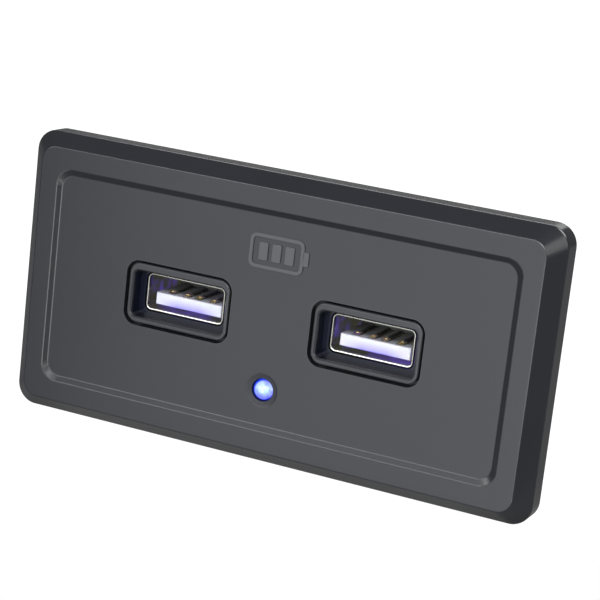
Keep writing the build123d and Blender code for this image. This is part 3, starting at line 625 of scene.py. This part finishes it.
def battery_outline(sizes, rise):
    """The closed rim of the battery sign, drawn flat on XY."""
    bm = bmesh.new()
    bmesh.ops.create_grid(bm, x_segments=1, y_segments=1, size=0.5)
    bmesh.ops.scale(bm, vec=(sizes.battery_width, sizes.battery_height, 1.0), verts=bm.verts)
    bmesh.ops.bevel(bm, geom=bm.verts[:], offset=sizes.battery_corner, segments=8, profile=0.5,
                    affect="VERTICES", material=-1)
    inner = bm.faces[:]
    bmesh.ops.inset_region(bm, faces=inner, thickness=sizes.battery_line, use_boundary=True,
                           use_even_offset=True)
    bmesh.ops.delete(bm, geom=inner, context="FACES")
    round_top(bm, raise_faces(bm, bm.faces[:], rise), sizes.sign_edge)
    return bm


def join(parts):
    """One bmesh from several."""
    whole = bmesh.new()
    for part in parts:
        mesh = bpy.data.meshes.new("part")
        part.to_mesh(mesh)
        part.free()
        whole.from_mesh(mesh)
        bpy.data.meshes.remove(mesh)
    return whole


class FinishFaceplate(bpy.types.Operator):
    """Satin dark grey for the faceplate and the port collars"""

    bl_idname = "object.finish_faceplate"
    bl_label = "Finish Faceplate"

    def execute(self, context):
        finish = context.scene.plastic_finish
        dress("faceplate_plastic", moulding("Satin grey faceplate", finish.face_colour,
                                            finish.face_roughness, finish, rubs=0.02,
                                            dish=(lens_centre, finish.dish_radius)))
        # Painted navy shade deeper in the collars' recesses
        recess = (finish.recess_painted_shade, collar_front, recess_shade_depths)
        dress("collar_plastic", moulding("Satin grey collar", finish.collar_colour,
                                         finish.face_roughness, finish, clouding=0.04,
                                         rubs=0.02, wear=3.2, specular=0.35, inner=recess))
        return {"FINISHED"}


class FinishPorts(bpy.types.Operator):
    """Nickel shells, white tongues and gold contacts for both ports"""

    bl_idname = "object.finish_ports"
    bl_label = "Finish Ports"

    def execute(self, context):
        metal = context.scene.metal_finish
        lamp = context.scene.lamp_finish
        # Painted highlight on the shells' lower lips
        sheen_and_wear = (metal.lip_painted_highlight, *[shell_low.z + height for height in lip_highlight_heights])
        # Painted shade inside the shells, behind their fronts
        shade = (metal.shade_colour, shell_low.y, shade_depths)
        dress("shell_steel", plated_metal("Nickel port shell", metal.shell_colour,
                                          metal.shell_roughness, metal.shell_stain,
                                          sheen_and_wear=sheen_and_wear, inner=shade, leak=lamp))
        # Painted shade on the contacts behind their points, deeper in the port
        wear_sheen_and_shade = (metal.gold_painted_shade, contact_front, gold_shade_depths)
        dress("contact_gold", plated_metal("Gold contact", metal.contact_colour,
                                           metal.contact_roughness, metal.contact_stain,
                                           lines=0.16, inner=wear_sheen_and_shade))
        dress("insulator_plastic", tongue_plastic(context.scene.plastic_finish, lamp))
        return {"FINISHED"}


class FinishLamp(bpy.types.Operator):
    """Lit blue lens with its spacer and leads"""

    bl_idname = "object.finish_lamp"
    bl_label = "Finish Lamp"

    def execute(self, context):
        finish = context.scene.plastic_finish
        metal = context.scene.metal_finish
        dress("lens_resin", lamp_lens(context.scene.lamp_finish))
        dress("spacer_plastic", moulding("Black lamp spacer", finish.housing_colour, roughness=0.5,
                                         finish=finish))
        dress("lead_tin", plated_metal("Tinned lead", metal.lead_colour, roughness=0.32,
                                       stain=metal.lead_stain))
        return {"FINISHED"}


class FinishHousing(bpy.types.Operator):
    """Black glass-filled housing, tinned blades and zinc screws"""

    bl_idname = "object.finish_housing"
    bl_label = "Finish Housing"

    def execute(self, context):
        finish = context.scene.plastic_finish
        metal = context.scene.metal_finish
        dress("housing_plastic", moulding("Black glass-filled housing", finish.housing_colour,
                                          finish.housing_roughness, finish, clouding=0.18,
                                          rubs=0.14, grain=0.55, relief=3.0,
                                          wear_sheen_and_shade=finish.housing_worn))
        dress("blade_brass", plated_metal("Tinned blade", metal.blade_colour,
                                          metal.blade_roughness, metal.blade_stain, lines=0.2))
        dress("screw_steel", plated_metal("Zinc screw", metal.screw_colour, roughness=0.36,
                                          stain=metal.screw_stain, lines=0.12))
        return {"FINISHED"}


class FinishBoard(bpy.types.Operator):
    """Green board and the charger's components"""

    bl_idname = "object.finish_board"
    bl_label = "Finish Board"

    def execute(self, context):
        board = context.scene.board_finish
        finish = context.scene.plastic_finish
        metal = context.scene.metal_finish
        dress("board_laminate", solder_mask(board))
        dress("chip_epoxy", moulding("Epoxy chip", board.epoxy_colour, roughness=0.6,
                                     finish=finish, wear_sheen_and_shade=board.chip_worn))
        dress("ferrite", moulding("Ferrite core", board.ferrite_colour, roughness=0.7,
                                  finish=finish, clouding=0.2, relief=2.0))
        dress("fuse_polymer", moulding("Polymer fuse", board.fuse_colour, roughness=0.5,
                                       finish=finish, wear_sheen_and_shade=board.fuse_worn))
        dress("can_aluminium", plated_metal("Aluminium can", metal.can_colour, roughness=0.28,
                                            stain=metal.can_stain))
        return {"FINISHED"}


class AddBatterySign(bpy.types.Operator):
    """Battery outline with charge bars, raised on the panel over the ports"""

    bl_idname = "object.add_battery_sign"
    bl_label = "Add Battery Sign"

    def execute(self, context):
        sizes = context.scene.sign_sizes
        finish = context.scene.plastic_finish
        rise = sizes.sign_rise + sizes.sign_root
        parts = [battery_outline(sizes, rise)]
        nub_width = 1.6 * sizes.battery_line
        nub_height = 0.42 * sizes.battery_height
        nub_x = sizes.battery_width / 2 + 0.3 * nub_width
        parts.append(flat_block(nub_width, nub_height, nub_x, 0.0, rise, 0.3 * nub_width,
                                sizes.sign_edge))
        pitch = (sizes.battery_width - 4 * sizes.battery_line) / sizes.charge_bars
        bar_width = 0.72 * pitch
        bar_height = sizes.battery_height - 4 * sizes.battery_line
        bar_corner = 0.12 * pitch
        for i in range(sizes.charge_bars):
            bar_x = (i - (sizes.charge_bars - 1) / 2) * pitch
            parts.append(flat_block(bar_width, bar_height, bar_x, 0.0, rise, bar_corner,
                                    sizes.sign_edge))
        bm = join(parts)
        upright = Matrix.Rotation(math.pi / 2, 4, "X")
        seat = Matrix.Translation((0.0, panel_front() + sizes.sign_root, sizes.battery_z))
        bmesh.ops.transform(bm, matrix=seat @ upright, verts=bm.verts)
        # The sign's edges are painted dark: painted shade along them
        material = moulding("Sign face", finish.sign_colour, finish.face_roughness, finish,
                            wear_sheen_and_shade=finish.sign_edge_shade, wear=4.0)
        new_piece("battery_sign", bm, material)
        return {"FINISHED"}


def panel_front():
    """Depth of the stepped-down panel, found by a ray from the front."""
    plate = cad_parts["faceplate"]
    sizes = bpy.context.scene.sign_sizes
    start = Vector((0.0, plate_low.y - 50.0 * MM, sizes.battery_z))
    hit, place = plate.ray_cast(start, Vector((0.0, 1.0, 0.0)))[:2]
    if not hit:
        raise RuntimeError("the panel isn't where the sign goes")
    return place.y


class AddPolarityMarks(bpy.types.Operator):
    """Raised plus and minus beside the blades on the back of the housing"""

    bl_idname = "object.add_polarity_marks"
    bl_label = "Add Polarity Marks"

    def execute(self, context):
        sizes = context.scene.sign_sizes
        finish = context.scene.plastic_finish
        rise = sizes.sign_rise + sizes.sign_root
        bar = sizes.mark_size / 3
        corner = 0.1 * bar
        parts = []
        for name, side, upright_bar in (("positive_terminal", -1, True),
                                        ("negative_terminal", 1, False)):
            low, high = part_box(name)
            x = (low.x + high.x) / 2 + side * sizes.mark_offset
            z = (low.z + high.z) / 2
            parts.append(flat_block(sizes.mark_size, bar, x, z, rise, corner, sizes.sign_edge))
            if upright_bar:
                for end in (-1, 1):
                    parts.append(flat_block(bar, bar, x, z + end * bar, rise, corner,
                                            sizes.sign_edge))
        bm = join(parts)
        outward = Matrix.Rotation(-math.pi / 2, 4, "X") @ Matrix.Scale(-1.0, 4, (0.0, 1.0, 0.0))
        seat = Matrix.Translation((0.0, housing_back - sizes.sign_root, 0.0))
        bmesh.ops.transform(bm, matrix=seat @ outward, verts=bm.verts)
        material = moulding("Polarity mark", finish.mark_colour, finish.housing_roughness,
                            finish, wear_sheen_and_shade=finish.mark_worn)
        new_piece("polarity_marks", bm, material)
        return {"FINISHED"}


def softbox(name, aim_from, distance, width, height, power):
    """A soft rectangular light that looks at the middle of the part."""
    light = bpy.data.lights.new(name, "AREA")
    light.shape = "RECTANGLE"
    light.size = width
    light.size_y = height
    light.energy = power
    lamp = bpy.data.objects.new(name, light)
    away = Vector(aim_from).normalized()
    lamp.location = away * distance
    lamp.rotation_euler = away.to_track_quat("Z", "Y").to_euler()
    lamp.visible_camera = False
    bpy.context.scene.collection.objects.link(lamp)


def seen_as_background(tree, gloss_share):
    """1 for camera and transmission rays, and a share of it for glossy rays."""
    path = add(tree, "LightPath").outputs
    direct = calculate(tree, "MAXIMUM", path["Is Camera Ray"], path["Is Transmission Ray"])
    gloss = calculate(tree, "MULTIPLY", path["Is Glossy Ray"], gloss_share)
    return calculate(tree, "MAXIMUM", direct, gloss)


class SetStage(bpy.types.Operator):
    """Pale floor, soft lights, white background and the camera"""

    bl_idname = "object.set_stage"
    bl_label = "Set Stage"

    def execute(self, context):
        studio = context.scene.studio_settings
        context.scene.view_settings.view_transform = "Standard"
        self.lay_floor(studio)
        self.set_world(studio)
        for name, (*place, power) in lights.items():
            softbox(name, *place, getattr(studio, power))
        bpy.data.lights["Front softbox"].color = studio.key_tint
        self.place_camera()
        return {"FINISHED"}

    def lay_floor(self, studio):
        bm = bmesh.new()
        bmesh.ops.create_grid(bm, x_segments=1, y_segments=1, size=studio.floor_size / 2)
        back_shift = studio.floor_size / 2 - studio.floor_front
        bmesh.ops.translate(bm, verts=bm.verts, vec=(0.0, back_shift, plate_low.z))
        mesh = bpy.data.meshes.new("studio_floor")
        bm.to_mesh(mesh)
        bm.free()
        floor = bpy.data.objects.new("studio_floor", mesh)
        bpy.context.scene.collection.objects.link(floor)
        material, tree, shader = new_material("Pale floor")
        shader["Base Color"].default_value = opaque(studio.floor_colour)
        shader["Roughness"].default_value = studio.floor_roughness
        lift = add(tree, "Emission", Color=WHITE)
        # Glossy rays see more of the floor's white near the part, falling off outward: a painted
        # pool of light seen only in reflections
        away = add(tree, "VectorMath", {"operation": "LENGTH"})
        feed(tree, away.inputs[0], object_place(tree))
        close, far = 0.9 * plate_high.x, 1.3 * plate_high.x
        glossy = fit_range(tree, away.outputs["Value"], close, far, studio.floor_gloss,
                           studio.gloss_share)
        seen = seen_as_background(tree, glossy)
        feed(tree, lift.inputs["Strength"], calculate(tree, "MULTIPLY", seen, studio.floor_lift))
        both = add(tree, "AddShader")
        feed(tree, both.inputs[0], tree.nodes["Principled BSDF"].outputs[0])
        feed(tree, both.inputs[1], lift.outputs[0])
        feed(tree, tree.nodes["Material Output"].inputs["Surface"], both.outputs[0])
        mesh.materials.append(material)

    def set_world(self, studio):
        world = bpy.data.worlds.new("Studio")
        world.use_nodes = True
        tree = world.node_tree
        soft = tree.nodes["Background"]
        soft.inputs["Color"].default_value = WHITE
        soft.inputs["Strength"].default_value = studio.fill
        white = add(tree, "Background", Color=WHITE, Strength=1.0)
        mixed = add(tree, "MixShader")
        feed(tree, mixed.inputs[0], seen_as_background(tree, studio.gloss_share))
        feed(tree, mixed.inputs[1], soft.outputs[0])
        feed(tree, mixed.inputs[2], white.outputs[0])
        feed(tree, tree.nodes["World Output"].inputs["Surface"], mixed.outputs[0])
        bpy.context.scene.world = world

    def place_camera(self):
        camera = bpy.data.cameras.new("Camera")
        camera.sensor_width = camera_sensor
        camera.lens = camera_lens
        camera.shift_x, camera.shift_y = camera_shift
        camera.clip_start = 10.0 * MM
        back = -Vector(camera_forward).normalized()
        upright = Vector(camera_upright).normalized()
        across = upright.cross(back).normalized()
        turn = Matrix((across, back.cross(across), back)).transposed().to_4x4()
        holder = bpy.data.objects.new("Camera", camera)
        holder.matrix_world = Matrix.Translation(camera_place) @ turn
        bpy.context.scene.collection.objects.link(holder)
        bpy.context.scene.camera = holder


class SocketPanel(bpy.types.Panel):
    """Buttons for the finishes, the signs and the stage"""

    bl_idname = "VIEW3D_PT_usb_socket"
    bl_label = "USB Socket"
    bl_space_type = "VIEW_3D"
    bl_region_type = "UI"
    bl_category = "USB Socket"

    def draw(self, context):
        for operator in operators:
            self.layout.operator(operator.bl_idname)
        for name in property_groups:
            group = getattr(context.scene, name)
            box = self.layout.box()
            for label in group.__annotations__:
                box.prop(group, label)


operators = (FinishFaceplate, FinishPorts, FinishLamp, FinishHousing, FinishBoard,
             AddBatterySign, AddPolarityMarks, SetStage)
property_groups = {
    "plastic_finish": PlasticFinish,
    "metal_finish": MetalFinish,
    "lamp_finish": LampFinish,
    "board_finish": BoardFinish,
    "sign_sizes": SignSizes,
    "studio_settings": StudioSettings,
}


def register():
    for name, group in property_groups.items():
        bpy.utils.register_class(group)
        setattr(bpy.types.Scene, name, PointerProperty(type=group))
    for operator in operators:
        bpy.utils.register_class(operator)
    bpy.utils.register_class(SocketPanel)


def unregister():
    bpy.utils.unregister_class(SocketPanel)
    for operator in reversed(operators):
        bpy.utils.unregister_class(operator)
    for name, group in property_groups.items():
        delattr(bpy.types.Scene, name)
        bpy.utils.unregister_class(group)


def main():
    register()
    bpy.ops.object.finish_faceplate()
    bpy.ops.object.finish_ports()
    bpy.ops.object.finish_lamp()
    bpy.ops.object.finish_housing()
    bpy.ops.object.finish_board()
    bpy.ops.object.add_battery_sign()
    bpy.ops.object.add_polarity_marks()
    bpy.ops.object.set_stage()


if __name__ == "__main__":
    main()
